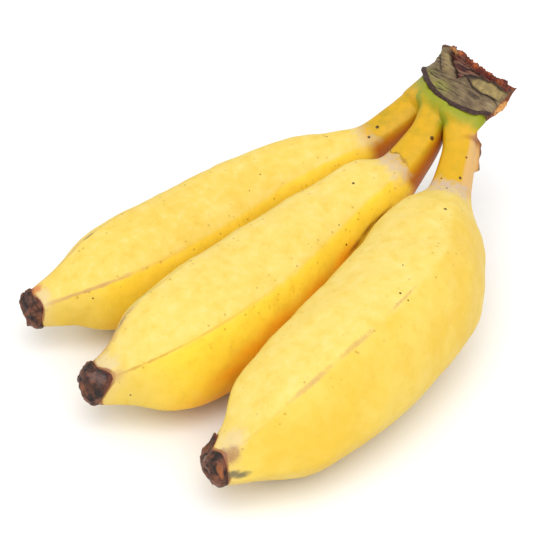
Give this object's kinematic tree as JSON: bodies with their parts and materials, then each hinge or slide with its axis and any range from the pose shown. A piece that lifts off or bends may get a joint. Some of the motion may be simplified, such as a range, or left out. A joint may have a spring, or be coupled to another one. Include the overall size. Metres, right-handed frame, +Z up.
{
  "type": "hand of bananas",
  "caption": "Hand of short, stubby dessert bananas joined at one cut crown, with dried blossom tips, lying on its rounded outer side.",
  "frame": {"origin": "On the surface that the bananas lie on, below the middle of the object's box", "axes": "+X from the blossom tips to the crown, +Y from the thickest banana to the slimmest one, +Z up"},
  "size_m": [0.1618, 0.1149, 0.0555],
  "materials": {
    "peel_left": "satin ripe peel, golden yellow",
    "peel_middle": "satin ripe peel, golden yellow",
    "peel_right": "satin ripe peel, lemon yellow",
    "dried_blossom": "dry, rough, dark brown",
    "crown_rind": "dry, fibrous, olive brown"
  },
  "bodies": {
    "root": {"banana_left": "peel_left", "banana_middle": "peel_middle", "banana_right": "peel_right", "blossom_tip_left": "dried_blossom", "blossom_tip_middle": "dried_blossom", "blossom_tip_right": "dried_blossom", "crown": "crown_rind"}
  },
  "joints": []
}
